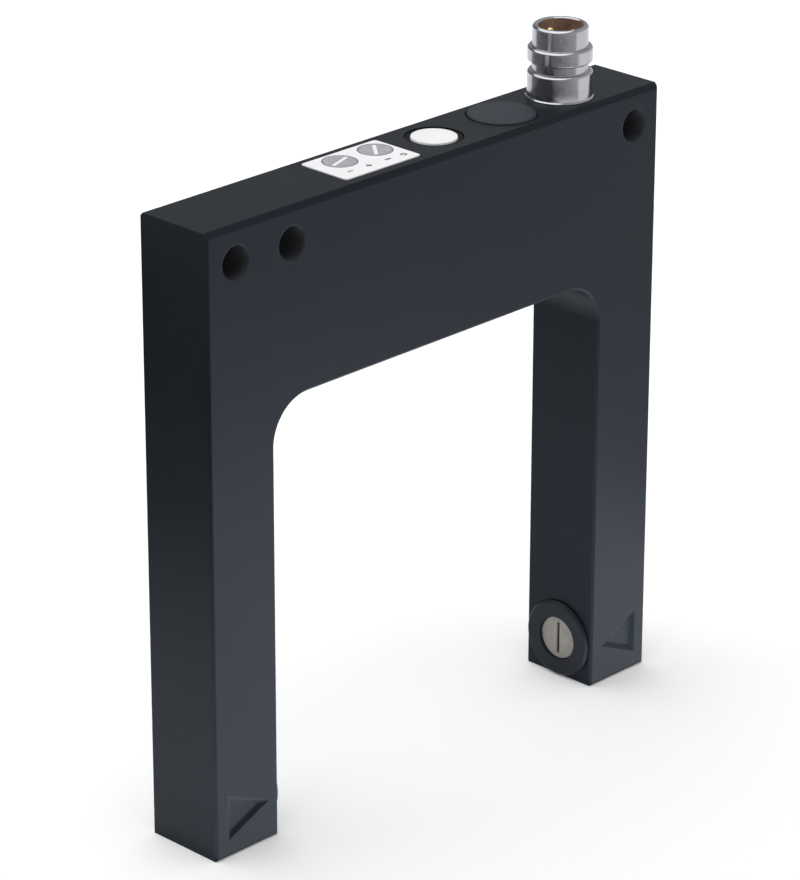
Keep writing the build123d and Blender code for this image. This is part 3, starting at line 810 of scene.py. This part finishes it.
def makeFloor():
    bpy.ops.object.select_all(action="DESELECT")
    bpy.ops.mesh.primitive_plane_add(size=studio["floorSize"], location=(0, 0, -studio["floorDrop"]))
    floor = nameIt(bpy.context.object, "studioFloor")
    material, tree = newMaterial("floorPaint")
    paint = addNode(tree, "ShaderNodeBsdfDiffuse", {"Color": (*studio["floorColour"], 1)})
    path = addNode(tree, "ShaderNodeLightPath")
    seen = maths(tree, "ADD", path.outputs["Is Camera Ray"], path.outputs["Is Glossy Ray"], clamp=True)
    seen = maths(tree, "ADD", seen, path.outputs["Is Transmission Ray"], clamp=True)
    glow = addNode(tree, "ShaderNodeEmission", {
        "Color": (1, 1, 1, 1), "Strength": maths(tree, "MULTIPLY", seen, studio["floorGlow"])})
    both = addNode(tree, "ShaderNodeAddShader", {0: paint.outputs[0], 1: glow.outputs[0]})
    addNode(tree, "ShaderNodeOutputMaterial", {"Surface": both.outputs[0]})
    floor.data.materials.append(material)


def makeSky():
    world = bpy.data.worlds.new("studioSky")
    bpy.context.scene.world = world
    world.use_nodes = True
    tree = world.node_tree
    tree.nodes.clear()
    direction = addNode(tree, "ShaderNodeTexCoord").outputs["Generated"]
    bright = addNode(tree, "ShaderNodeVectorMath", {
        0: direction, 1: Vector(studio["skyDirection"]).normalized()}, operation="DOT_PRODUCT")
    strength = ranged(tree, bright.outputs["Value"], *studio["skySpread"], studio["skyDark"],
                      studio["skyBright"])
    sky = addNode(tree, "ShaderNodeBackground", {"Color": (*studio["skyColour"], 1), "Strength": strength})
    addNode(tree, "ShaderNodeOutputWorld", {"Surface": sky.outputs[0]})


def makeLamps():
    away = Vector(studio["sunFrom"]).normalized()
    bpy.ops.object.light_add(type="SUN", location=away * 2)
    sun = bpy.context.object
    sun.name = "softSun"
    sun.rotation_euler = away.to_track_quat("Z", "Y").to_euler()
    sun.data.energy = studio["sun"]
    sun.data.angle = math.radians(studio["sunAngle"])
    for name, values in floorLamps.items():
        place = (*values["place"], studio["lampHeight"])
        bpy.ops.object.light_add(type="AREA", location=place, rotation=(math.pi, 0, 0))
        lamp = bpy.context.object
        lamp.name = name
        lamp.data.shape = "RECTANGLE"
        lamp.data.size, lamp.data.size_y = values["size"]
        lamp.data.energy = values["power"]
        lamp.visible_camera = False


def cardPaint(name, tone):
    material, tree = newMaterial(name)
    glow = addNode(tree, "ShaderNodeEmission", {"Color": (1, 1, 1, 1), "Strength": tone})
    addNode(tree, "ShaderNodeOutputMaterial", {"Surface": glow.outputs[0]})
    return material


def makeCards():
    step = (cards["last"] - cards["first"]) / len(cards["tones"])
    width = 2 * cards["radius"] * math.tan(math.radians(step / 2))
    for number, tone in enumerate(cards["tones"]):
        angle = math.radians(cards["first"] + (number + 0.5) * step)
        x = cards["middle"][0] + cards["radius"] * math.cos(angle)
        y = cards["middle"][1] + cards["radius"] * math.sin(angle)
        bpy.ops.object.select_all(action="DESELECT")
        bpy.ops.mesh.primitive_plane_add(size=1)
        card = nameIt(bpy.context.object, "darkCard" + str(number))
        card.scale = (width, cards["height"], 1)
        moveTo(card, (x, y, cards["height"] / 2), (90, 0, math.degrees(angle) + 90))
        card.data.materials.append(cardPaint("cardPaint" + str(number), tone))
        for ray in ("camera", "diffuse", "transmission", "volume_scatter", "shadow"):
            setattr(card, "visible_" + ray, False)


makeFloor()
makeSky()
makeLamps()
makeCards()
bpy.context.scene.view_settings.view_transform = "Standard"
print("studio done")
